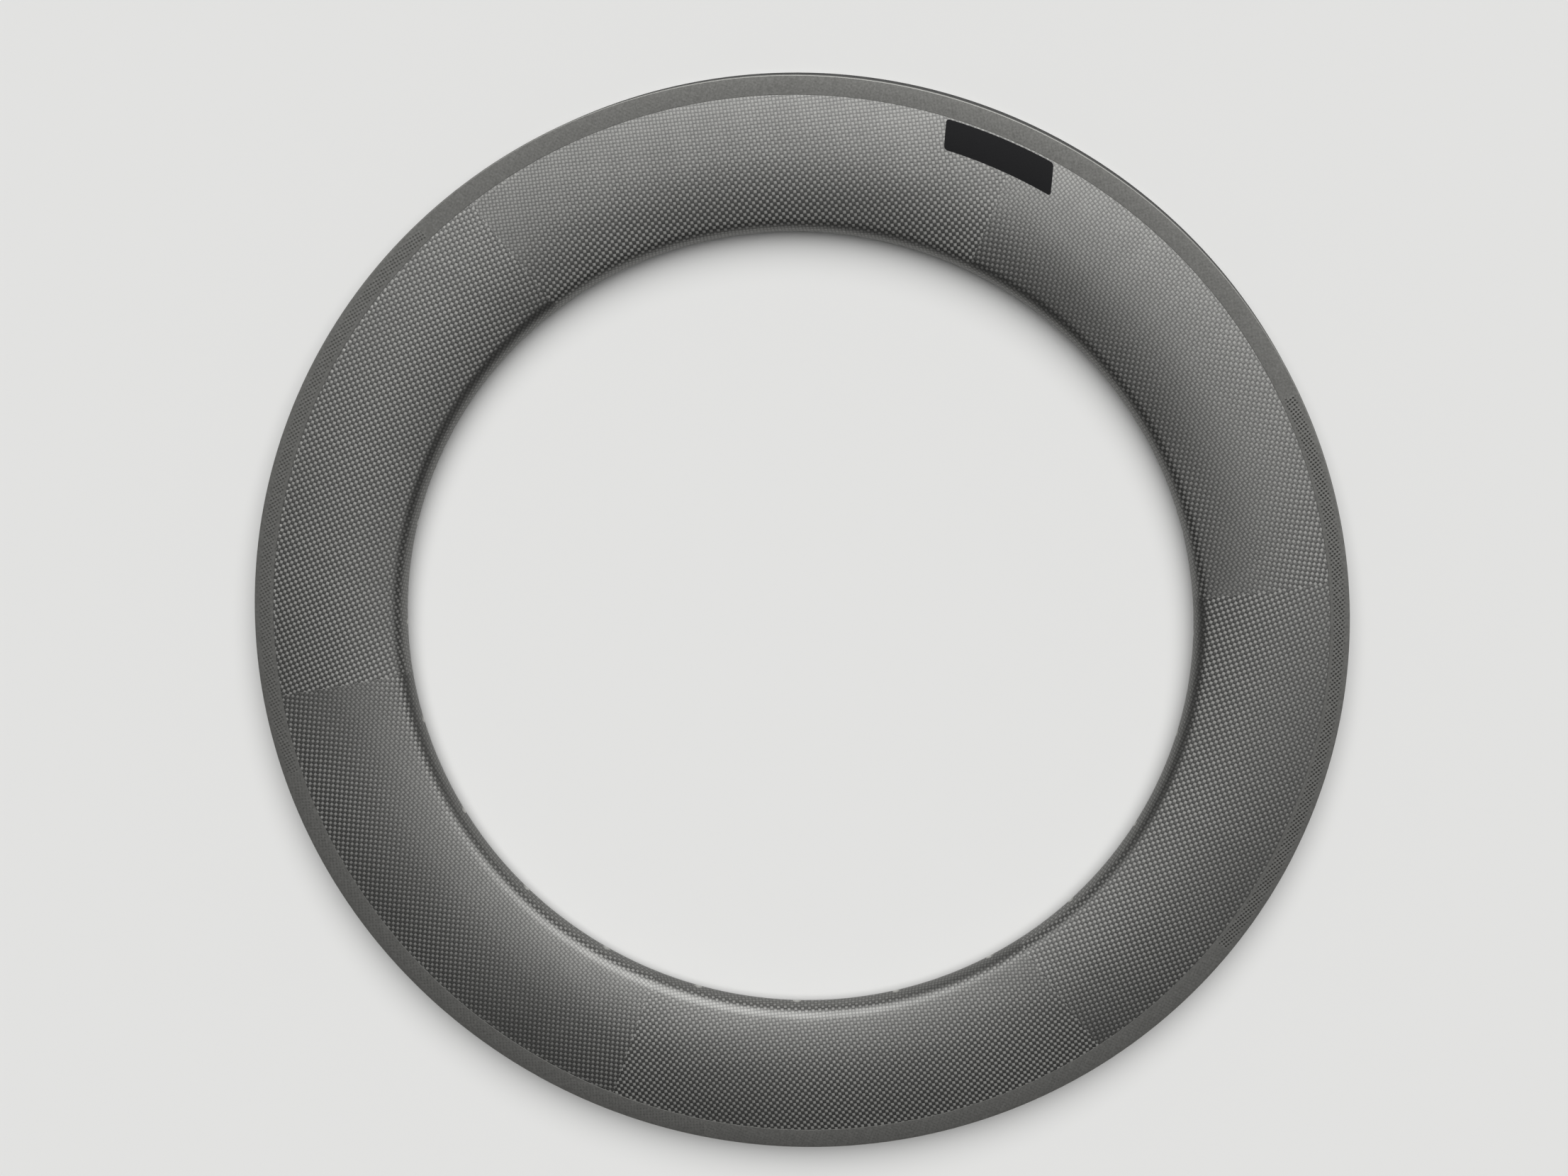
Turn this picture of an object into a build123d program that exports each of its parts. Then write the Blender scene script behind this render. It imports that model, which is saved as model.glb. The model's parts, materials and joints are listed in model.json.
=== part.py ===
from build123d import *
from math import hypot, sqrt
import os

# Outside of the rim, all in millimetres
bead_seat_d = 622.0  # where the tyre's beads sit
flange_height = 5.5  # flange crest above the bead seat
rim_depth = 88.0  # flange crest to nose
track_width = 23.0  # across the two brake tracks
track_height = 11.2  # flange crest to the start of the flank
max_width = 26.0  # across the flanks where they are widest
widest_depth = 43.5  # flange crest to where the flanks are widest
nose_radius = 10.0

# Walls of the hollow moulding
flank_wall = 0.8
nose_wall = 2.0
bed_wall = 1.4
flange_wall = 2.5
cavity_corner = 4.0

# Tyre channel
lip_height = 1.8
hook_height = 1.5
hook_reach = 0.8
well_depth = 4.0
well_top_width = 12.4
well_floor_width = 10.0
channel_radius = 0.7

# Spoke and valve drilling
spoke_count = 24
spoke_hole_d = 4.5
access_hole_d = 8.4
valve_hole_d = 6.5
valve_spoke_count = 4  # spoke gaps from +X to the gap that has the valve hole
drill_clearance = 1.5  # how far a drill runs past each wall

# Film label on the upper flank
label_height = 16.6
label_length = 61.5  # square to its slanted ends
label_slant = 18.0
label_corner = 2.0
label_film = 0.15
label_clearance = 0.02  # film to flank, filled with adhesive
label_margin = 0.8  # label edge to brake track

# Places that follow from the sizes
crest_r = bead_seat_d / 2 + flange_height
seat_r = bead_seat_d / 2
well_r = seat_r - well_depth
roof_r = well_r - bed_wall
flank_r = crest_r - track_height
widest_r = crest_r - widest_depth
nose_r = crest_r - rim_depth
nose_floor_r = nose_r + nose_wall
half_track = track_width / 2
half_max = max_width / 2
bead_z = half_track - flange_wall
lip_z = bead_z - hook_reach

# Upper flank arc: level at the widest place, through the edge of the brake track
upper_rise = half_max - half_track
upper_run = flank_r - widest_r
upper_radius = (upper_run**2 + upper_rise**2) / (2 * upper_rise)
upper_z = half_max - upper_radius

# Lower flank arc: level at the widest place, tangent to the round of the nose
nose_centre_r = nose_r + nose_radius
lower_run = widest_r - nose_centre_r
lower_radius = (lower_run**2 + half_max**2 - nose_radius**2) / (2 * (half_max - nose_radius))
lower_z = half_max - lower_radius


def nose_of(radius, start_r):
    """Centre and radius of the round that starts at start_r on the mid-plane and meets a lower flank arc."""
    run = widest_r - start_r
    nose = (radius**2 - lower_z**2 - run**2) / (2 * (radius - run))
    return start_r + nose, nose


def on_lower(radius, start_r):
    """Where that round and the lower flank arc touch, and the middle of the round."""
    centre_r, nose = nose_of(radius, start_r)
    away = hypot(widest_r - centre_r, lower_z)
    along_r = (centre_r - widest_r) / away
    along_z = -lower_z / away
    touch = (centre_r + nose * along_r, nose * along_z)
    half_way = hypot(along_r - 1, along_z)
    middle = (centre_r + nose * (along_r - 1) / half_way, nose * along_z / half_way)
    return touch, middle


def arc_point(centre_z, radius, r):
    """Point at radius r from the wheel's axis on a flank arc."""
    return (r, centre_z + sqrt(radius**2 - (r - widest_r) ** 2))


def flank_line(wall, start_r, end_r):
    """Round of the nose, lower flank and upper flank, one wall thickness inside the outer skin."""
    lower = lower_radius - wall
    upper = upper_radius - wall
    touch, middle = on_lower(lower, start_r)
    widest = (widest_r, half_max - wall)
    ThreePointArc((start_r, 0), middle, touch)
    ThreePointArc(touch, arc_point(lower_z, lower, (touch[0] + widest_r) / 2), widest)
    ThreePointArc(widest, arc_point(upper_z, upper, (widest_r + end_r) / 2), arc_point(upper_z, upper, end_r))


with BuildPart() as rim:
    with BuildSketch(Plane.XZ) as section:
        # Outer skin, brake track, hooked flange and tyre channel
        with BuildLine():
            flank_line(0, nose_r, flank_r)
            FilletPolyline(
                (flank_r, half_track),
                (crest_r, half_track),
                (crest_r, lip_z),
                (crest_r - lip_height, lip_z),
                (crest_r - lip_height - hook_height, bead_z),
                (seat_r, bead_z),
                (seat_r, well_top_width / 2),
                (well_r, well_floor_width / 2),
                (well_r, 0),
                radius=channel_radius,
            )
            Line((well_r, 0), (nose_r, 0))
        make_face()
        # Hollow between nose, flanks and tyre bed
        with BuildSketch(Plane.XZ, mode=Mode.SUBTRACT) as hollow:
            with BuildLine():
                flank_line(flank_wall, nose_floor_r, roof_r)
                roof_corner = arc_point(upper_z, upper_radius - flank_wall, roof_r)
                Polyline(roof_corner, (roof_r, 0), (nose_floor_r, 0))
            make_face()
            fillet(hollow.vertices().group_by(Axis.X)[-1].sort_by(Axis.Y)[-1], cavity_corner)
        mirror(about=Plane.XZ)
    revolve(axis=Axis.Z)

    # Spoke holes through the nose, and wider holes over them in the tyre bed
    with PolarLocations(nose_r - drill_clearance, spoke_count):
        Cylinder(
            spoke_hole_d / 2,
            nose_wall + 2 * drill_clearance,
            rotation=(0, 90, 0),
            align=(Align.CENTER, Align.CENTER, Align.MIN),
            mode=Mode.SUBTRACT,
        )
    with PolarLocations(roof_r - drill_clearance, spoke_count):
        Cylinder(
            access_hole_d / 2,
            bed_wall + 2 * drill_clearance,
            rotation=(0, 90, 0),
            align=(Align.CENTER, Align.CENTER, Align.MIN),
            mode=Mode.SUBTRACT,
        )

    # Valve hole through nose and tyre bed
    valve_angle = 360 / spoke_count * (valve_spoke_count + 0.5)
    with PolarLocations(nose_r - drill_clearance, 1, start_angle=valve_angle):
        Cylinder(
            valve_hole_d / 2,
            well_r - nose_r + 2 * drill_clearance,
            rotation=(0, 90, 0),
            align=(Align.CENTER, Align.CENTER, Align.MIN),
            mode=Mode.SUBTRACT,
        )

# Label: a film on the flank, centred over the valve hole, its long edges round the wheel
label_out_r = flank_r - label_margin
label_in_r = label_out_r - label_height
label_mid_r = (label_out_r + label_in_r) / 2

with BuildPart() as label:
    with BuildSketch(Plane.XZ):
        with Locations((widest_r, upper_z)):
            Circle(upper_radius + label_clearance + label_film)
            Circle(upper_radius + label_clearance, mode=Mode.SUBTRACT)
        with Locations((label_mid_r, half_max)):
            Rectangle(label_height + 2 * label_margin, max_width, mode=Mode.INTERSECT)
    revolve(axis=Axis.Z)
    with BuildSketch(Plane.XY) as outline:
        Circle(label_out_r)
        Circle(label_in_r, mode=Mode.SUBTRACT)
        with PolarLocations(label_mid_r, 1, start_angle=valve_angle):
            Rectangle(label_height + label_length, label_length, rotation=label_slant, mode=Mode.INTERSECT)
        fillet(outline.vertices(), label_corner)
    extrude(amount=max_width, mode=Mode.INTERSECT)

rim.part.label = "rim"
label.part.label = "label"

os.makedirs("parts", exist_ok=True)
export_step(rim.part, "parts/rim.step")
export_step(label.part, "parts/label.step")
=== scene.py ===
import json
from math import asin, atan2, cos, hypot, pi, radians, sin, sqrt, tau

import bpy
from bpy.props import FloatProperty, FloatVectorProperty, IntProperty, PointerProperty
from mathutils import Matrix, Vector


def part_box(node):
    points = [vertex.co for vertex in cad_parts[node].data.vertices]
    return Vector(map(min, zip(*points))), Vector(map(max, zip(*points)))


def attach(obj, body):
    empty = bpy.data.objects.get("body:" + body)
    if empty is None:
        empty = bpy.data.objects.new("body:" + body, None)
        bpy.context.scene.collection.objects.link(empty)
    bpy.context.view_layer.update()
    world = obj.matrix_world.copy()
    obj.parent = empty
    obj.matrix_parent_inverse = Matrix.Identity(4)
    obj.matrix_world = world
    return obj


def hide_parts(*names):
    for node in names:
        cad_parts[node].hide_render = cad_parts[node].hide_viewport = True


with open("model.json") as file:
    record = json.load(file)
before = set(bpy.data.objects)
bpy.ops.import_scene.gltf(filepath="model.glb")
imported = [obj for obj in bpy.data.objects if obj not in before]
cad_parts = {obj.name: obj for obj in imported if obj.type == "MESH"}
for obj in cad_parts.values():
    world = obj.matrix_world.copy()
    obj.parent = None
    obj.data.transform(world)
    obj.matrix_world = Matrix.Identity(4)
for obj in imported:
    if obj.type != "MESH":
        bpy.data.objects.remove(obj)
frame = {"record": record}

bl_info = {
    "name": "Deep bicycle rim",
    "version": (1, 0, 0),
    "blender": (4, 5, 0),
    "location": "3D View > Sidebar > Rim",
    "description": "Models a deep carbon bicycle rim with its film label, and a plain studio to show it in",
    "category": "Object",
}

RIM_LOW, RIM_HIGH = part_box("rim")
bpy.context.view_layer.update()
MOUNTS = {mount["name"]: mount for mount in frame["record"]["mounts"]}
MM = 0.001
DEGREE = tau / 360  # in radians
TOUCH = 1e-6  # points nearer than this are the same point

# Fineness of the meshes
ROUND_STEPS = 288  # steps of the skin round the wheel, twelve between spoke holes
SKIN_STEPS = (16, 12, 8)  # steps of the skin's nose round, lower flank arc and upper flank arc
HOLLOW_STEPS = (10, 6, 4)  # the same for the hollow
EDGE_STEPS = 6  # steps of a rounded edge of the channel and of a rounded corner of the label
HOLLOW_EDGE_STEPS = 4  # steps of the hollow's rounded corners
DRILL_STEPS = 32  # steps round a drill
LABEL_STEPS = 24  # steps of the label's long edges
LABEL_ROWS = 12  # strips of the label across the flank
LABEL_COLUMNS = 30  # strips of the label round the wheel
SHELL_SMOOTH = radians(16)  # faces that meet at less than this shade smoothly, so the groove stays sharp
FILM_SMOOTH = radians(18)  # the same for the label

# Lay of the fabric
FLANK_SEAMS = (5.8, 65.5, 126.75, 188.0, 248.75, 305.6)  # degrees from +X
SEAM_SKEW = 9.0  # degrees that a flank seam leans, for each metre out from the axis
TRACK_SEAMS = (26.5, 81.0, 133.0, 197.0, 260.0, 323.5)  # degrees from +X
TRACK_OPEN = (0.08, 0.08, 0.6, 0.22, 0.15, 0.95)  # how clearly the weave shows on the strip after each seam
TRACK_SLANT = 45.0  # degrees that the tows slant in the middle of a track strip
LEAN_STEP = 20.0  # degrees of lean from one pair of tow shaders to the next
STRANDS = 12  # bundles of fibre that show across a tow
TOW_ENDS = 640  # cut tow ends round the outer edge of a flank
ENDS_MIDDLE = 185.0  # degrees from +X to the middle of the stretch where the tow ends show
ENDS_REACH = 80.0  # degrees to each side that they show

# Heights and spacings of fine relief
TOW_RELIEF = 0.045 * MM  # crown of a tow on the flanks
PORE_RELIEF = 0.06 * MM  # depth of the pores in the brake track
PEEL_PITCH = 0.9 * MM  # thread spacing of the peel cloth
PEEL_RELIEF = 0.05 * MM  # print of the peel cloth
PLY_PITCH = 0.3 * MM  # thickness of a ply in the walls of the drilled holes
PLY_RELIEF = 0.04 * MM  # steps between the cut plies
FILM_RELIEF = 0.008 * MM  # ripple of the label's film


def bore_radius(name):
    """Radius of one of the rim's drilled holes, in metres."""
    return MOUNTS[name]["dims"]["r_mm"] * MM


def metres(name, description, default):
    """A size in metres."""
    return FloatProperty(name=name, description=description, default=default, unit="LENGTH", precision=5)


def angle(name, description, degrees):
    """An angle, given in degrees."""
    return FloatProperty(name=name, description=description, default=radians(degrees), unit="ROTATION")


def colour(name, description, default):
    """A linear colour."""
    return FloatVectorProperty(
        name=name, description=description, default=default, size=3, subtype="COLOR", min=0, max=1
    )


def pixels(name, description, default):
    """Two numbers of pixels in the picture, across and down."""
    return FloatVectorProperty(
        name=name, description=description, default=default, size=2, subtype="COORDINATES"
    )


def strength(name, description, default):
    """Strength of a light."""
    return FloatProperty(name=name, description=description, default=default, min=0)


class RimSizes(bpy.types.PropertyGroup):
    """Sizes of the moulded rim."""

    crest_r: metres("Flange crest", "Radius of the flange crests from the wheel's axis", RIM_HIGH.x)
    max_width: metres("Widest", "Width across the flanks", RIM_HIGH.z - RIM_LOW.z)
    depth: metres("Depth", "Flange crest to nose", 88 * MM)
    track_width: metres("Track width", "Width across the two brake tracks", 23 * MM)
    track_height: metres("Track height", "Flange crest to the start of the flank", 11.2 * MM)
    widest_depth: metres("Widest depth", "Flange crest to where the flanks are widest", 43.5 * MM)
    nose_radius: metres("Nose round", "Radius of the round of the nose", 10.0 * MM)
    groove_width: metres("Groove width", "Width of the fine groove between flank and track", 0.3 * MM)
    groove_depth: metres("Groove depth", "Depth of the fine groove between flank and track", 0.06 * MM)
    flank_wall: metres("Flank wall", "Thickness of the flanks", 0.8 * MM)
    nose_wall: metres("Nose wall", "Thickness of the nose, where the spokes pull", 2.0 * MM)
    bed_wall: metres("Bed wall", "Thickness of the tyre bed", 1.4 * MM)
    flange_wall: metres("Flange wall", "Thickness of the flanges", 2.5 * MM)
    flange_height: metres("Flange height", "Flange crest above the bead seat", 5.5 * MM)
    lip_height: metres("Lip height", "Height of the hooked lip", 1.8 * MM)
    hook_height: metres("Hook height", "Height of the slope under the lip", 1.5 * MM)
    hook_reach: metres("Hook reach", "How far the lip stands over the channel", 0.8 * MM)
    well_depth: metres("Well depth", "Depth of the well under the bead seats", 4.0 * MM)
    well_top: metres("Well top", "Width of the well at the bead seats", 12.4 * MM)
    well_floor: metres("Well floor", "Width of the well's floor", 10.0 * MM)
    edge_round: metres("Edge round", "Setback of the channel's rounded edges and corners", 0.7 * MM)
    hollow_round: metres("Hollow round", "Setback of the hollow's corners under the tyre bed", 4.0 * MM)
    spoke_count: IntProperty(name="Spokes", description="Number of spoke holes", default=24, min=1)
    spoke_hole_r: metres("Spoke hole", "Radius of the spoke holes", bore_radius("spoke_hole_00"))
    access_hole_r: metres("Access hole", "Radius of the holes in the tyre bed over the spoke holes", 4.2 * MM)
    valve_hole_r: metres("Valve hole", "Radius of the valve hole", bore_radius("valve_hole"))
    valve_angle: angle("Valve", "Angle of the valve hole from +X", 67.5)
    chamfer: metres("Hole chamfer", "Mean width of the broken edge of a hole in the nose", 0.1 * MM)


class LabelSizes(bpy.types.PropertyGroup):
    """Sizes of the film label."""

    height: metres("Height", "Height of the label across the flank", 16.6 * MM)
    length: metres("Length", "Length of the label, square to its slanted ends", 61.5 * MM)
    slant: angle("Slant", "Slant of the label's ends", 18)
    corner: metres("Corner", "Setback of the label's rounded corners", 2.0 * MM)
    film: metres("Film", "Thickness of the film", 0.15 * MM)
    glue: metres("Glue", "Thickness of the adhesive under the film", 0.02 * MM)
    margin: metres("Margin", "Label edge to brake track", 0.8 * MM)


class FinishSettings(bpy.types.PropertyGroup):
    """Colours and weave of the finishes."""

    tow_pitch: metres("Tow pitch", "Spacing of the tows in the plain weave", 2.0 * MM)
    track_pitch: metres("Track pitch", "Spacing of the tows in the strips under the brake track", 1.85 * MM)
    carbon: colour("Carbon", "Colour of the lacquered tows", (0.223, 0.222, 0.212))
    resin: colour("Resin", "Colour of the resin between the tows", (0.040, 0.040, 0.038))
    # The fibre colour also lightens the track's rounded outer edge, there partly as a painted highlight
    fibre: colour("Fibre", "Colour of loose fibre ends and of the worn outer edge", (0.42, 0.42, 0.40))
    track: colour("Track", "Colour of the ground brake track", (0.096, 0.095, 0.090))
    bed: colour("Bed", "Colour of the bare moulding in the tyre channel", (0.030, 0.030, 0.029))
    cut: colour("Cut", "Colour of the cut plies in the drilled holes", (0.55, 0.55, 0.52))
    film: colour("Film", "Colour of the label's film", (0.006, 0.006, 0.007))


class StageSettings(bpy.types.PropertyGroup):
    """Camera, light and floor."""

    tilt: angle("Tilt", "Angle of the camera from the wheel's axis", 13.17)
    heading: angle("Heading", "Side of the wheel that the camera leans to, from +X", 71.9)
    distance: metres("Distance", "Camera to the wheel's centre", 1.884)
    lens: FloatProperty(
        name="Lens", description="Focal length for a 36 mm sensor", default=74.56, subtype="DISTANCE_CAMERA"
    )
    centre_px: pixels("Centre", "Where the wheel's centre falls in the picture", (1124.5, 883.3))
    picture_px: pixels("Picture", "Width and height of the picture", (2212, 1659))
    key_tilt: angle("Key tilt", "Angle of the main light from straight above", 30)
    key_heading: angle("Key heading", "Side that the main light comes from, from +X", 79)
    key_spread: angle("Key spread", "Angle that the main light spans, seen from the wheel", 60)
    key_strength: strength("Key strength", "Strength of the main light", 3.5)
    fill_above: strength("Fill above", "Strength of the light from high up all round", 0.05)
    fill_low: strength("Fill low", "Strength of the light from low down all round", 0.25)
    floor: colour("Floor", "Colour of the floor", (0.74, 0.74, 0.73))
    floor_size: metres("Floor size", "Side of the floor", 16.0)


class RimSettings(bpy.types.PropertyGroup):
    """All settings of the rim, its label and the studio."""

    rim: PointerProperty(type=RimSizes)
    label: PointerProperty(type=LabelSizes)
    finish: PointerProperty(type=FinishSettings)
    stage: PointerProperty(type=StageSettings)


class Section:
    """Places on the rim's cross-section: r from the wheel's axis, z from its mid-plane."""

    def __init__(self, rim):
        self.rim = rim
        self.half_track = rim.track_width / 2
        self.half_max = rim.max_width / 2
        self.nose_r = rim.crest_r - rim.depth
        self.flank_r = rim.crest_r - rim.track_height
        self.widest_r = rim.crest_r - rim.widest_depth
        self.seat_r = rim.crest_r - rim.flange_height
        self.well_r = self.seat_r - rim.well_depth
        self.roof_r = self.well_r - rim.bed_wall
        self.bead_z = self.half_track - rim.flange_wall
        self.lip_z = self.bead_z - rim.hook_reach

        # Upper flank arc: level at the widest place, through the edge of the track
        rise = self.half_max - self.half_track
        run = self.flank_r - self.widest_r
        self.upper_radius = (run**2 + rise**2) / (2 * rise)
        self.upper_z = self.half_max - self.upper_radius

        # Lower flank arc: level at the widest place, tangent to the round of the nose
        nose = rim.nose_radius
        run = self.widest_r - self.nose_r - nose
        self.lower_radius = (run**2 + self.half_max**2 - nose**2) / (2 * (self.half_max - nose))
        self.lower_z = self.half_max - self.lower_radius

    def upper_at(self, r, wall=0.0):
        """Point at r on the upper flank arc, a wall thickness inside the skin."""
        return (r, self.upper_z + sqrt((self.upper_radius - wall) ** 2 - (r - self.widest_r) ** 2))

    def nose_round(self, wall, start_r):
        """Centre and end of the round that starts at start_r and runs into the lower flank arc."""
        lower = self.lower_radius - wall
        run = self.widest_r - start_r
        radius = (lower**2 - self.lower_z**2 - run**2) / (2 * (lower - run))
        centre_r = start_r + radius
        away = hypot(self.widest_r - centre_r, self.lower_z)
        end = (centre_r + radius * (centre_r - self.widest_r) / away, -radius * self.lower_z / away)
        return (centre_r, 0.0), end


def on_circle(radius, turn):
    """Point on a level circle round the wheel's axis."""
    return Vector((radius * cos(turn), radius * sin(turn), 0))


def select_points(piece, points):
    """Selects the vertices at some places of the piece in edit mode."""
    bpy.ops.mesh.select_all(action="DESELECT")
    bpy.ops.object.mode_set(mode="OBJECT")
    for vertex in piece.data.vertices:
        vertex.select = any((vertex.co - point).length < TOUCH for point in points)
    bpy.ops.object.mode_set(mode="EDIT")
    bpy.ops.mesh.select_mode(type="VERT")


def face_outwards():
    """Merges doubles of the closed piece in edit mode, turns its normals outwards and leaves edit mode."""
    bpy.ops.mesh.select_all(action="SELECT")
    bpy.ops.mesh.remove_doubles(threshold=TOUCH)
    bpy.ops.mesh.normals_make_consistent(inside=False)
    bpy.ops.object.mode_set(mode="OBJECT")


def select_only(piece):
    """Makes a piece the active object and the only one selected."""
    bpy.ops.object.select_all(action="DESELECT")
    bpy.context.view_layer.objects.active = piece
    piece.select_set(True)


def apply_modifier(piece, kind, **settings):
    """Gives a piece one modifier and applies it."""
    select_only(piece)
    modifier = piece.modifiers.new(kind.lower(), kind)
    for name, value in settings.items():
        setattr(modifier, name, value)
    bpy.ops.object.modifier_apply(modifier=modifier.name)


def cut_away(piece, cutter):
    """Cuts one solid out of another and deletes the cutter, whose finish stays on the cut faces."""
    settings = {"operation": "DIFFERENCE", "solver": "MANIFOLD", "material_mode": "TRANSFER"}
    apply_modifier(piece, "BOOLEAN", object=cutter, **settings)
    bpy.data.meshes.remove(cutter.data)


class SectionLine:
    """A line in the XZ plane, drawn in edit mode from one vertex by spins and extrusions."""

    def __init__(self, name, start):
        bpy.ops.object.select_all(action="DESELECT")
        bpy.ops.mesh.primitive_plane_add(size=MM, location=(start[0], 0, start[1]))
        self.piece = bpy.context.object
        self.piece.name = name
        self.piece.data.name = name
        bpy.ops.object.transform_apply(location=True, rotation=True, scale=True)
        bpy.ops.object.mode_set(mode="EDIT")
        bpy.ops.mesh.merge(type="CENTER")
        self.at = start

    def arc(self, centre, end, steps):
        """Draws on round a centre to an end point."""
        begin = atan2(self.at[1] - centre[1], self.at[0] - centre[0])
        finish = atan2(end[1] - centre[1], end[0] - centre[0])
        turn = (finish - begin + pi) % tau - pi
        bpy.ops.mesh.spin(steps=steps, angle=turn, center=(centre[0], 0, centre[1]), axis=(0, 1, 0))
        self.at = end

    def lines(self, *ends):
        """Draws straight on from point to point."""
        for end in ends:
            step = (end[0] - self.at[0], 0, end[1] - self.at[1])
            bpy.ops.mesh.extrude_region_move(TRANSFORM_OT_translate={"value": step})
            self.at = end

    def round_off(self, corners, setback, steps):
        """Rounds some corners of the line."""
        select_points(self.piece, [Vector((r, 0, z)) for r, z in corners])
        bpy.ops.mesh.bevel(offset=setback, segments=steps, affect="VERTICES")

    def revolve(self, axis, steps):
        """Sweeps the line once round an axis through the origin."""
        bpy.ops.mesh.select_all(action="SELECT")
        bpy.ops.mesh.spin(steps=steps, angle=tau, center=(0, 0, 0), axis=axis, use_auto_merge=True)
        bpy.ops.mesh.select_all(action="SELECT")
        bpy.ops.mesh.remove_doubles(threshold=TOUCH)

    def turn_wheel(self, steps):
        """Turns a half section round the wheel's axis, adds the other half and closes the solid."""
        self.revolve((0, 0, 1), steps)
        bpy.ops.object.mode_set(mode="OBJECT")
        apply_modifier(self.piece, "MIRROR", use_axis=(False, False, True), merge_threshold=TOUCH)
        bpy.ops.object.mode_set(mode="EDIT")
        face_outwards()
        return self.piece


def flank_line(name, section, wall, start_r, end_r, steps):
    """A line along the nose's round and both flank arcs up to end_r, a wall thickness inside the skin."""
    centre, touch = section.nose_round(wall, start_r)
    nose_steps, lower_steps, upper_steps = steps
    line = SectionLine(name, (start_r, 0.0))
    line.arc(centre, touch, nose_steps)
    line.arc((section.widest_r, section.lower_z), (section.widest_r, section.half_max - wall), lower_steps)
    line.arc((section.widest_r, section.upper_z), section.upper_at(end_r, wall), upper_steps)
    return line


def turn_drill(name, profile):
    """A drill on the X axis: half profile points of distance along X and radius, turned once round."""
    line = SectionLine(name, profile[0])
    line.lines(*profile[1:])
    line.revolve((1, 0, 0), DRILL_STEPS)
    face_outwards()
    return line.piece


class Line:
    """A socket in a node tree. Sums on lines add Math nodes."""

    def __init__(self, tree, socket):
        self.tree = tree
        self.socket = socket

    def node(self, kind, settings=None, inputs=None, output=0):
        """Any node: its type, settings, the values or lines of its sockets, and which output to take."""
        made = self.tree.nodes.new(kind)
        for name, value in (settings or {}).items():
            setattr(made, name, value)
        for key, value in (inputs or {}).items():
            if isinstance(value, Line):
                self.tree.links.new(value.socket, made.inputs[key])
            else:
                made.inputs[key].default_value = value
        return Line(self.tree, made.outputs[output])

    def maths(self, operation, *values):
        """A Math node that starts with this line."""
        return self.node("ShaderNodeMath", {"operation": operation}, dict(enumerate((self, *values))))

    def __add__(self, other):
        return self.maths("ADD", other)

    __radd__ = __add__

    def __sub__(self, other):
        return self.maths("SUBTRACT", other)

    def __rsub__(self, other):
        return self.node("ShaderNodeMath", {"operation": "SUBTRACT"}, {0: other, 1: self})

    def __mul__(self, other):
        return self.maths("MULTIPLY", other)

    __rmul__ = __mul__

    def __truediv__(self, other):
        return self.maths("DIVIDE", other)

    def __pow__(self, other):
        return self.maths("POWER", other)

    def __mod__(self, other):
        return self.maths("FLOORED_MODULO", other)

    def __abs__(self):
        return self.maths("ABSOLUTE")

    def __gt__(self, other):
        return self.maths("GREATER_THAN", other)

    def __lt__(self, other):
        return self.maths("LESS_THAN", other)

    def least(self, other):
        """The smaller of two lines."""
        return self.maths("MINIMUM", other)

    def most(self, other):
        """The larger of two lines."""
        return self.maths("MAXIMUM", other)

    def ease(self, low, high):
        """Rises smoothly from 0 at low to 1 at high."""
        settings = {"interpolation_type": "SMOOTHSTEP"}
        return self.node("ShaderNodeMapRange", settings, {"Value": self, "From Min": low, "From Max": high})

    def between(self, other, factor):
        """Part of the way from this value to another."""
        return self + (other - self) * factor

    def blend(self, first, second):
        """A colour part of the way from first to second, with this line as the factor."""
        return self.node("ShaderNodeMix", {"data_type": "RGBA"}, {0: self, 6: first, 7: second}, 2)

    def mix(self, first, second):
        """A shader part of the way from first to second, with this line as the factor."""
        return self.node("ShaderNodeMixShader", None, {0: self, 1: first, 2: second})

    def noise(self, scale, detail=2.0):
        """Cloudy noise from 0 to 1, with this line as its place."""
        return self.node("ShaderNodeTexNoise", None, {"Vector": self, "Scale": scale, "Detail": detail})

    def chance(self):
        """A random number for each value of this line."""
        return self.node("ShaderNodeTexWhiteNoise", {"noise_dimensions": "1D"}, {"W": self})

    def bump(self, distance):
        """A normal from this line as a height, where 1 is that distance."""
        return self.node("ShaderNodeBump", None, {"Height": self, "Distance": distance})

    def surface(self, sockets):
        """A Principled shader with some of its sockets set."""
        return self.node("ShaderNodeBsdfPrincipled", None, sockets)


def new_finish(name):
    """An empty material, and a line with the place on the object."""
    finish = bpy.data.materials.new(name)
    finish.use_nodes = True
    finish.node_tree.nodes.clear()
    place = finish.node_tree.nodes.new("ShaderNodeTexCoord")
    return finish, Line(finish.node_tree, place.outputs["Object"])


def put_out(shader):
    """Makes a shader the surface of its material."""
    tree = shader.tree
    out = tree.nodes.new("ShaderNodeOutputMaterial")
    tree.links.new(shader.socket, out.inputs["Surface"])


def rgba(values):
    """A colour with its alpha."""
    return (*values, 1.0)


def round_the_wheel(place):
    """Radius from the wheel's axis, angle from +X in degrees, and height over the mid-plane."""
    parts = place.node("ShaderNodeSeparateXYZ", None, {0: place})
    x, y, z = (Line(place.tree, parts.socket.node.outputs[axis]) for axis in "XYZ")
    radius = (x * x + y * y).maths("SQRT")
    turn = (y.maths("ARCTAN2", x) * (360 / tau)) % 360
    return radius, turn, z


def patch_lay(turn, seams):
    """Angles of a place from the middle of its fabric patch and from the nearest seam, in degrees."""
    ends = [*seams[1:], seams[0] + 360]
    middles = [(seam + end) / 2 for seam, end in zip(seams, ends)]
    before = middles[-1] - 360
    lay = turn - before
    gap = turn * 0 + 360
    for seam, middle in zip(seams, middles):
        lay = lay - (turn > seam) * (middle - before)
        gap = gap.least(abs(turn - seam))
        before = middle
    return lay, gap


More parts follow.
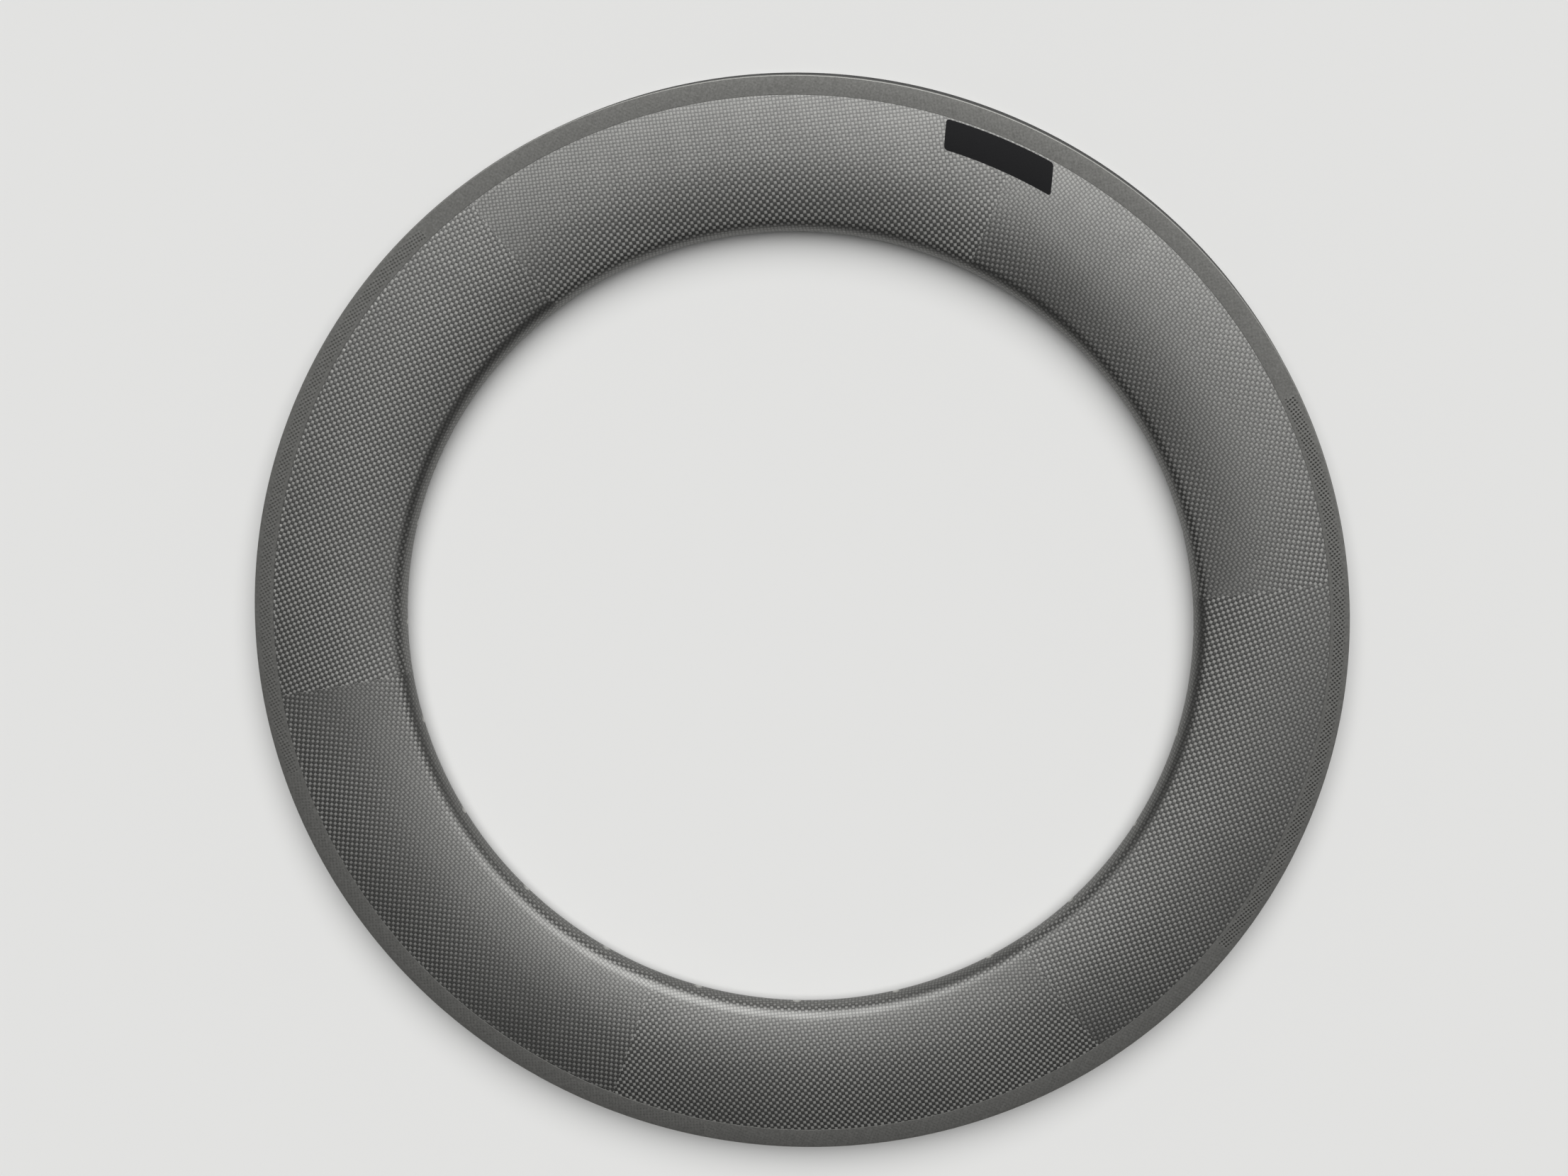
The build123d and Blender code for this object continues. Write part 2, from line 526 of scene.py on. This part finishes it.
def flat_lay(radius, lay, pitch):
    """Places along and across a fabric that lies flat, in tow widths."""
    turn = lay * DEGREE
    return radius * turn.maths("COSINE") / pitch, radius * turn.maths("SINE") / pitch


def frayed_seam(place, radius, gap, reach, soft):
    """Loose fibre along the nearest seam: how far it reaches to each side, and how softly it ends."""
    ragged = place.noise(700.0) * reach
    off = gap * radius * DEGREE - ragged
    return 1 - off.ease(-0.1 * MM, soft)


class Weave:
    """Plain weave over a flat lay: which tow is on top, its rounded height and its own tint."""

    def __init__(self, along, across):
        along_cell = along.maths("FLOOR")
        across_cell = across.maths("FLOOR")
        self.over = (along_cell + across_cell) % 2
        self.along_swell = self.swell(along)
        self.across_swell = self.swell(across)
        self.pillow = self.along_swell * self.across_swell
        # The half keeps the numbers of the two directions' tows apart
        self.tint = along_cell.between(across_cell + 0.5, self.over).chance()
        self.strand = (along.between(across + 0.5, self.over) * STRANDS).maths("FLOOR").chance()

    @staticmethod
    def swell(line):
        """0 at the edges of each cell and 1 in its middle."""
        off = line.maths("FRACT") * 2 - 1
        return 1 - off * off


def flank_weave(place, finish, section):
    """The fabric of nose and flanks in its six patches, its lay and the angle to the nearest seam."""
    radius, turn, height = round_the_wheel(place)

    # The fabric lies flat on the flank and follows the round of the nose
    nose, touch = section.nose_round(0, section.nose_r)
    slope = atan2(touch[1], nose[0] - touch[0])
    lean = abs(height).maths("ARCTAN2", nose[0] - radius)
    on_nose = touch[0] - (slope - lean) * section.rim.nose_radius
    lay_radius = radius.between(on_nose, radius < touch[0])

    # Its tows wander by up to half their width
    lay, gap = patch_lay(turn - (radius - section.widest_r) * SEAM_SKEW, FLANK_SEAMS)
    along, across = flat_lay(lay_radius, lay, finish.tow_pitch)
    wander = place.noise(30.0, 1.0) * 0.5
    return Weave(along + wander, across + wander), lay, gap


def tow_ends(place, radius, turn, section):
    """Cut tow ends: a row of dots just inside the brake track, in patches along one stretch."""
    pitch = tau * section.flank_r / TOW_ENDS
    dot = 0.35 * pitch
    core = 0.15 * pitch
    off_round = ((turn * (TOW_ENDS / 360)).maths("FRACT") - 0.5) * pitch
    off_in = radius - (section.flank_r - dot)
    off = (off_round * off_round + off_in * off_in).maths("SQRT")
    patches = place.noise(25.0).ease(0.3, 0.6)
    stretch = 1 - abs(turn - ENDS_MIDDLE).ease(0.6 * ENDS_REACH, ENDS_REACH)
    return (1 - off.ease(core, dot)) * (patches * stretch)


def woven_laminate(finish, section):
    """Matte lacquered plain weave: each tow shines across its own fibres."""
    material, place = new_finish("woven_laminate")
    radius, turn, _ = round_the_wheel(place)
    weave, lay, gap = flank_weave(place, finish, section)

    # Share of the tow's colour over the resin's: least in the gaps, partly the resin that shows there and
    # partly painted shade between the tows, most on the crowns as a painted highlight, and some by chance
    in_gaps = 0.3
    crown_highlight = 0.64
    by_chance = 0.12
    # Lighter towards each tow's crown: a painted highlight
    crown = weave.pillow.ease(0.1, 0.85)
    tint = in_gaps + crown * crown_highlight + weave.tint * by_chance + weave.strand * by_chance
    tows = tint.blend(rgba(finish.resin), rgba(finish.carbon))

    # Loose fibre: faint along the seams, plain at the tow ends
    frayed = frayed_seam(place, radius, gap, reach=0.9 * MM, soft=0.15 * MM) * 0.05
    ends = tow_ends(place, radius, turn, section) * 0.45
    tows = frayed.most(ends).blend(tows, rgba(finish.fibre))

    lumps = place.noise(90.0) * 0.15
    normal = (weave.pillow + lumps).bump(TOW_RELIEF)
    rough = 0.45 + place.noise(60.0, 3.0) * 0.1

    # One shader for each direction of tow, at three leans to the round of the wheel
    shader = None
    for lean in (-LEAN_STEP, 0.0, LEAN_STEP):
        directions = []
        for square in (0.0, 0.25):
            sockets = {
                "Base Color": tows,
                "Metallic": 1.0,
                "Roughness": rough,
                "Anisotropic": 0.75,
                "Anisotropic Rotation": (square - lean / 360) % 1,
                "Specular Tint": rgba((0.4, 0.4, 0.4)),
                "Coat Weight": 0.6,
                "Coat IOR": 1.7,
                "Coat Roughness": 0.4,
                "Normal": normal,
            }
            directions.append(place.surface(sockets))
        both = weave.over.mix(directions[1], directions[0])
        if shader is None:
            shader = both
        else:
            shader = lay.ease(lean - LEAN_STEP, lean).mix(shader, both)
    put_out(shader)
    return material


def ground_track(finish, section):
    """Brake track: strips of slanting plain weave, ground flat, so mostly the gaps between tows show."""
    material, place = new_finish("ground_track")
    radius, turn, _ = round_the_wheel(place)
    lay, gap = patch_lay(turn, TRACK_SEAMS)
    weave = Weave(*flat_lay(radius, lay + TRACK_SLANT, finish.track_pitch))

    # The weave shows clearly on some strips and is ground away on others, and towards the track's edges
    open_weave = turn * 0 + TRACK_OPEN[-1]
    for seam, before, after in zip(TRACK_SEAMS, (TRACK_OPEN[-1], *TRACK_OPEN), TRACK_OPEN):
        open_weave = open_weave + (turn > seam) * (after - before)
    out = radius - section.flank_r
    inner_fade = out.ease(1.2 * MM, 2.6 * MM)
    outer_fade = 1 - out.ease(7.0 * MM, 9.5 * MM)
    shown = open_weave * inner_fade * outer_fade

    # Grain all over, a little of each tow's own tint, and dark pores where the gaps cross
    grain = place.noise(900.0) * 0.9
    crown = weave.pillow.ease(0.3, 0.9) * shown * 0.3
    ground = (grain + weave.tint * 0.08 + crown).blend(rgba(finish.track), rgba(finish.carbon))
    corners = (1 - weave.along_swell) ** 1.2 * (1 - weave.across_swell) ** 0.7
    broken = place.noise(260.0, 1.0).ease(0.1, 0.5)
    pores = corners.ease(0.03, 0.32) * broken * shown
    ground = pores.blend(ground, rgba(finish.resin))
    frayed = frayed_seam(place, radius, gap, reach=0.6 * MM, soft=0.2 * MM) * 0.06
    ground = frayed.blend(ground, rgba(finish.fibre))

    # The rounded outer edge is worn smooth, and its colour is lightened towards the fibre's, partly as wear
    # and partly as a painted highlight
    rim = section.rim
    edge_wear_and_highlight = out.ease(rim.track_height - rim.edge_round, rim.track_height - 0.75 * rim.edge_round)
    # Lighter colour along the rounded outer edge: partly wear, partly a painted highlight
    ground = (edge_wear_and_highlight * 0.4).blend(ground, rgba(finish.fibre))
    sockets = {
        "Base Color": ground,
        "Metallic": 1.0,
        "Roughness": 0.6 + pores * 0.15 - edge_wear_and_highlight * 0.1,
        "Normal": (1 - pores).bump(PORE_RELIEF),
    }
    put_out(place.surface(sockets))
    return material


def moulded_bed(finish, section):
    """Tyre channel and inside: bare resin straight from the mould, with the print of its peel cloth."""
    material, place = new_finish("moulded_bed")
    _, turn, height = round_the_wheel(place)
    threads = round(tau * section.well_r / PEEL_PITCH)
    cloth = (turn * (threads * DEGREE)).maths("SINE") * (height * (tau / PEEL_PITCH)).maths("SINE")
    cloudy = place.noise(45.0, 4.0)
    sockets = {
        "Base Color": (cloudy * 0.8 + cloth * 0.2).blend(rgba(finish.bed), rgba(finish.resin)),
        "Roughness": 0.45 + cloudy * 0.2,
        "Normal": (cloth + cloudy).bump(PEEL_RELIEF),
    }
    put_out(place.surface(sockets))
    return material


def drilled_edge(finish):
    """Walls of the drilled holes: cut plies with loose fibre."""
    material, place = new_finish("drilled_edge")
    radius, _, _ = round_the_wheel(place)
    fuzz = place.noise(2500.0, 3.0)
    waver = fuzz * 4
    plies = (radius * (tau / PLY_PITCH) + waver).maths("SINE") * 0.5 + 0.5
    sockets = {
        "Base Color": (0.5 + plies * 0.1 + fuzz * 0.4).blend(rgba(finish.bed), rgba(finish.cut)),
        "Roughness": 0.75 + fuzz * 0.2,
        "Normal": (plies + fuzz).bump(PLY_RELIEF),
    }
    put_out(place.surface(sockets))
    return material


def black_film(finish, section):
    """Label: smooth black film, slightly hazed by handling, with the weave showing faintly through."""
    material, place = new_finish("black_film")
    weave, _, _ = flank_weave(place, finish, section)
    haze = place.noise(120.0, 4.0)
    ripple = place.noise(500.0, 1.0)
    sockets = {
        "Base Color": (haze * 0.2).blend(rgba(finish.film), rgba(finish.bed)),
        "Roughness": 0.22 + haze * 0.16,
        "Specular IOR Level": 0.05,
        "Normal": (ripple + weave.pillow * 0.8).bump(FILM_RELIEF),
    }
    put_out(place.surface(sockets))
    return material


def studio_floor(colour_of_floor):
    """Plain pale floor with the faintest grain."""
    material, place = new_finish("studio_floor")
    grain = place.noise(40.0, 3.0) * 0.06
    darker = [0.9 * part for part in colour_of_floor]
    base = grain.blend(rgba(colour_of_floor), rgba(darker))
    put_out(place.surface({"Base Color": base, "Roughness": 0.9, "IOR": 1.3}))
    return material


class RIM_OT_shell(bpy.types.Operator):
    """Model the hollow, drilled shell of the rim"""

    bl_idname = "bicycle_rim.shell"
    bl_label = "Rim shell"

    def execute(self, context):
        settings = context.scene.bicycle_rim
        section = Section(settings.rim)
        shell = self.outer_solid(section)
        laminate = woven_laminate(settings.finish, section)
        track = ground_track(settings.finish, section)
        bed = moulded_bed(settings.finish, section)
        cut = drilled_edge(settings.finish)
        for finish in (laminate, track, bed, cut):
            shell.data.materials.append(finish)
        self.lay_finishes(shell, section)

        hollow = self.hollow(section)
        hollow.data.materials.append(bed)
        cut_away(shell, hollow)
        for drills in self.drills(section):
            drills.data.materials.append(cut)
            cut_away(shell, drills)

        select_only(shell)
        bpy.ops.object.shade_smooth_by_angle(angle=SHELL_SMOOTH)
        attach(shell, "root")
        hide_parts("rim")
        return {"FINISHED"}

    @staticmethod
    def outer_solid(section):
        """Nose, flanks, grooves, brake tracks, hooked flanges and tyre channel, with no hollow yet."""
        rim = section.rim
        groove_mid = (section.flank_r + rim.groove_width / 2, section.half_track - rim.groove_depth)
        groove_end = (section.flank_r + rim.groove_width, section.half_track)
        channel = [
            (rim.crest_r, section.half_track),
            (rim.crest_r, section.lip_z),
            (rim.crest_r - rim.lip_height, section.lip_z),
            (rim.crest_r - rim.lip_height - rim.hook_height, section.bead_z),
            (section.seat_r, section.bead_z),
            (section.seat_r, rim.well_top / 2),
            (section.well_r, rim.well_floor / 2),
        ]
        line = flank_line("rim_shell", section, 0.0, section.nose_r, section.flank_r, SKIN_STEPS)
        line.lines(groove_mid, groove_end, *channel, (section.well_r, 0.0))
        line.round_off(channel, rim.edge_round, EDGE_STEPS)
        return line.turn_wheel(ROUND_STEPS)

    @staticmethod
    def lay_finishes(shell, section):
        """Laminate on nose and flanks, ground finish on the brake tracks, moulded finish in the channel."""
        laminate, track, bed = range(3)
        for face in shell.data.polygons:
            if hypot(face.center.x, face.center.y) < section.flank_r:
                face.material_index = laminate
            elif abs(face.center.z) > section.half_track - section.rim.edge_round:
                face.material_index = track
            else:
                face.material_index = bed

    @staticmethod
    def hollow(section):
        """The closed hollow between nose, flanks and tyre bed."""
        rim = section.rim
        floor_r = section.nose_r + rim.nose_wall
        line = flank_line("hollow", section, rim.flank_wall, floor_r, section.roof_r, HOLLOW_STEPS)
        roof_corner = line.at
        line.lines((section.roof_r, 0.0))
        line.round_off([roof_corner], rim.hollow_round, HOLLOW_EDGE_STEPS)
        return line.turn_wheel(ROUND_STEPS // 2)

    @staticmethod
    def drills(section):
        """Drills for the spoke holes, for the access holes over them, and for the valve hole."""
        rim = section.rim
        past = 2 * rim.nose_wall
        inner_r = section.nose_r - past
        outer_r = section.well_r + past

        def nose_drill(hole_r, end_r):
            """Half profile of a drill that starts inside the nose, with a cone to break the hole's edge."""
            cone_r = section.nose_r + 2 * rim.chamfer
            wide = hole_r + cone_r - inner_r
            return [(inner_r, 0.0), (inner_r, wide), (cone_r, hole_r), (end_r, hole_r), (end_r, 0.0)]

        def bed_drill(hole_r):
            """Half profile of a drill through the tyre bed alone."""
            start_r = section.roof_r - past
            return [(start_r, 0.0), (start_r, hole_r), (outer_r, hole_r), (outer_r, 0.0)]

        others = rim.spoke_count - 1
        turn = tau * others / rim.spoke_count
        spoke_end_r = section.nose_r + rim.nose_wall + past
        made = [
            turn_drill("spoke_drills", nose_drill(rim.spoke_hole_r, spoke_end_r)),
            turn_drill("access_drills", bed_drill(rim.access_hole_r)),
        ]
        for drill in made:
            select_only(drill)
            bpy.ops.object.mode_set(mode="EDIT")
            bpy.ops.mesh.select_all(action="SELECT")
            bpy.ops.mesh.spin(steps=others, dupli=True, angle=turn, center=(0, 0, 0), axis=(0, 0, 1))
            bpy.ops.object.mode_set(mode="OBJECT")
        valve_drill = turn_drill("valve_drill", nose_drill(rim.valve_hole_r, outer_r))
        valve_drill.data.transform(Matrix.Rotation(rim.valve_angle, 4, "Z"))
        return [*made, valve_drill]


class RIM_OT_label(bpy.types.Operator):
    """Model the film label on the upper flank"""

    bl_idname = "bicycle_rim.label"
    bl_label = "Film label"

    def execute(self, context):
        settings = context.scene.bicycle_rim
        section = Section(settings.rim)
        label = settings.label
        out_r = section.flank_r - label.margin
        in_r = out_r - label.height
        film = self.outline(settings.rim, label, in_r, out_r)
        self.slice_up(settings.rim, label, in_r)
        bpy.ops.object.mode_set(mode="OBJECT")
        lift = label.glue + label.film
        for vertex in film.data.vertices:
            vertex.co.z = section.upper_at(hypot(vertex.co.x, vertex.co.y), -lift)[1]
        apply_modifier(film, "SOLIDIFY", thickness=label.film, offset=-1.0)
        bpy.ops.object.mode_set(mode="EDIT")
        face_outwards()
        bpy.ops.object.shade_smooth_by_angle(angle=FILM_SMOOTH)
        film.data.materials.append(black_film(settings.finish, section))
        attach(film, "root")
        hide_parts("label")
        return {"FINISHED"}

    @staticmethod
    def outline(rim, label, in_r, out_r):
        """Flat outline: two arcs round the wheel, two slanted ends and rounded corners."""
        middle = on_circle((in_r + out_r) / 2, rim.valve_angle)
        slanted = rim.valve_angle + label.slant
        normal = on_circle(1, slanted + pi / 2)

        def end_angle(radius, side):
            """Angle where an end of the label meets a circle round the wheel."""
            reach = (middle.dot(normal) + side * label.length / 2) / radius
            return slanted + asin(reach)

        def run_round(turn):
            """Draws on round the wheel."""
            bpy.ops.mesh.spin(steps=LABEL_STEPS, angle=-turn, center=(0, 0, 0), axis=(0, 0, 1))

        in_start, in_end = end_angle(in_r, -1), end_angle(in_r, 1)
        out_start, out_end = end_angle(out_r, -1), end_angle(out_r, 1)
        corners = [
            on_circle(in_r, in_start),
            on_circle(in_r, in_end),
            on_circle(out_r, out_end),
            on_circle(out_r, out_start),
        ]
        film = SectionLine("label_film", (in_r, 0.0)).piece
        bpy.ops.transform.rotate(value=-in_start, orient_axis="Z", center_override=(0, 0, 0))
        run_round(in_end - in_start)
        bpy.ops.mesh.extrude_region_move(TRANSFORM_OT_translate={"value": corners[2] - corners[1]})
        run_round(out_start - out_end)
        bpy.ops.mesh.select_all(action="SELECT")
        bpy.ops.mesh.edge_face_add()
        select_points(film, corners)
        bpy.ops.mesh.bevel(offset=label.corner, segments=EDGE_STEPS, affect="VERTICES")
        return film

    @staticmethod
    def slice_up(rim, label, in_r):
        """Cuts the flat film into strips both ways, so that it can follow the flank."""
        out = on_circle(1, rim.valve_angle)
        side = Vector((-out.y, out.x, 0))
        reach = label.length + label.height
        rows = range(1, 2 * LABEL_ROWS)
        columns = range(1, LABEL_COLUMNS)
        cuts = [(out, in_r - label.height / 2 + label.height * row / LABEL_ROWS) for row in rows]
        cuts += [(side, reach * (column / LABEL_COLUMNS - 0.5)) for column in columns]
        for direction, distance in cuts:
            bpy.ops.mesh.select_all(action="SELECT")
            bpy.ops.mesh.bisect(plane_co=direction * distance, plane_no=direction)


class RIM_OT_stage(bpy.types.Operator):
    """Set up the floor, the light and the camera"""

    bl_idname = "bicycle_rim.stage"
    bl_label = "Studio"

    def execute(self, context):
        stage = context.scene.bicycle_rim.stage
        bpy.ops.object.select_all(action="DESELECT")
        bpy.ops.mesh.primitive_plane_add(size=stage.floor_size, location=(0, 0, RIM_LOW.z))
        floor = context.object
        floor.name = "floor"
        bpy.ops.object.transform_apply(location=True, rotation=True, scale=True)
        floor.data.materials.append(studio_floor(stage.floor))
        self.light(context, stage)
        self.camera(context, stage)
        return {"FINISHED"}

    @staticmethod
    def direction(tilt, heading):
        """Unit vector, tilted from straight up towards a heading."""
        return Vector((sin(tilt) * cos(heading), sin(tilt) * sin(heading), cos(tilt)))

    def light(self, context, stage):
        """One broad soft light from above, and a fill from all round that is stronger low down."""
        towards = self.direction(stage.key_tilt, stage.key_heading)
        bpy.ops.object.light_add(type="SUN", location=towards * stage.distance)
        key = context.object
        key.name = "key_light"
        key.rotation_euler = towards.to_track_quat("Z", "Y").to_euler()
        key.data.energy = stage.key_strength
        key.data.angle = stage.key_spread
        world = bpy.data.worlds.new("studio")
        world.use_nodes = True
        tree = world.node_tree
        place = Line(tree, tree.nodes.new("ShaderNodeTexCoord").outputs["Generated"])
        upwards = place.node("ShaderNodeSeparateXYZ", None, {0: place}, "Z")
        thirty_up = 0.5  # sine of the angle over the floor from which the fill is the one from above
        low = rgba([stage.fill_low] * 3)
        above = rgba([stage.fill_above] * 3)
        fill = upwards.ease(0.0, thirty_up).blend(low, above)
        tree.links.new(fill.socket, tree.nodes["Background"].inputs["Color"])
        context.scene.world = world
        context.scene.view_settings.view_transform = "Standard"

    def camera(self, context, stage):
        """Camera at the picture's angle to the wheel, with the wheel's +Y upwards."""
        back = self.direction(stage.tilt, stage.heading)
        right = Vector((0, 1, 0)).cross(back).normalized()
        up = back.cross(right)
        data = bpy.data.cameras.new("camera")
        camera = bpy.data.objects.new("camera", data)
        context.scene.collection.objects.link(camera)
        turn = Matrix((right, up, back)).transposed().to_4x4()
        camera.matrix_world = Matrix.Translation(back * stage.distance) @ turn
        data.lens = stage.lens
        width, height = stage.picture_px
        data.shift_x = (width / 2 - stage.centre_px[0]) / width
        data.shift_y = (stage.centre_px[1] - height / 2) / width
        context.scene.camera = camera


class RIM_PT_sidebar(bpy.types.Panel):
    """Sizes, finishes and steps of the rim"""

    bl_idname = "RIM_PT_sidebar"
    bl_label = "Bicycle rim"
    bl_space_type = "VIEW_3D"
    bl_region_type = "UI"
    bl_category = "Rim"

    def draw(self, context):
        settings = context.scene.bicycle_rim
        for step in STEPS:
            self.layout.operator(step.bl_idname)
        for group in (settings.rim, settings.label, settings.finish, settings.stage):
            box = self.layout.box()
            for name in group.__annotations__:
                box.prop(group, name)


STEPS = (RIM_OT_shell, RIM_OT_label, RIM_OT_stage)
CLASSES = (RimSizes, LabelSizes, FinishSettings, StageSettings, RimSettings, *STEPS, RIM_PT_sidebar)


def register():
    """Adds the classes and the scene's settings."""
    for made in CLASSES:
        bpy.utils.register_class(made)
    bpy.types.Scene.bicycle_rim = PointerProperty(type=RimSettings)


def unregister():
    """Takes the classes and the scene's settings away again."""
    del bpy.types.Scene.bicycle_rim
    for made in reversed(CLASSES):
        bpy.utils.unregister_class(made)


def main():
    """Makes the rim, its label and the studio."""
    register()
    bpy.ops.bicycle_rim.shell()
    bpy.ops.bicycle_rim.label()
    bpy.ops.bicycle_rim.stage()


if __name__ == "__main__":
    main()
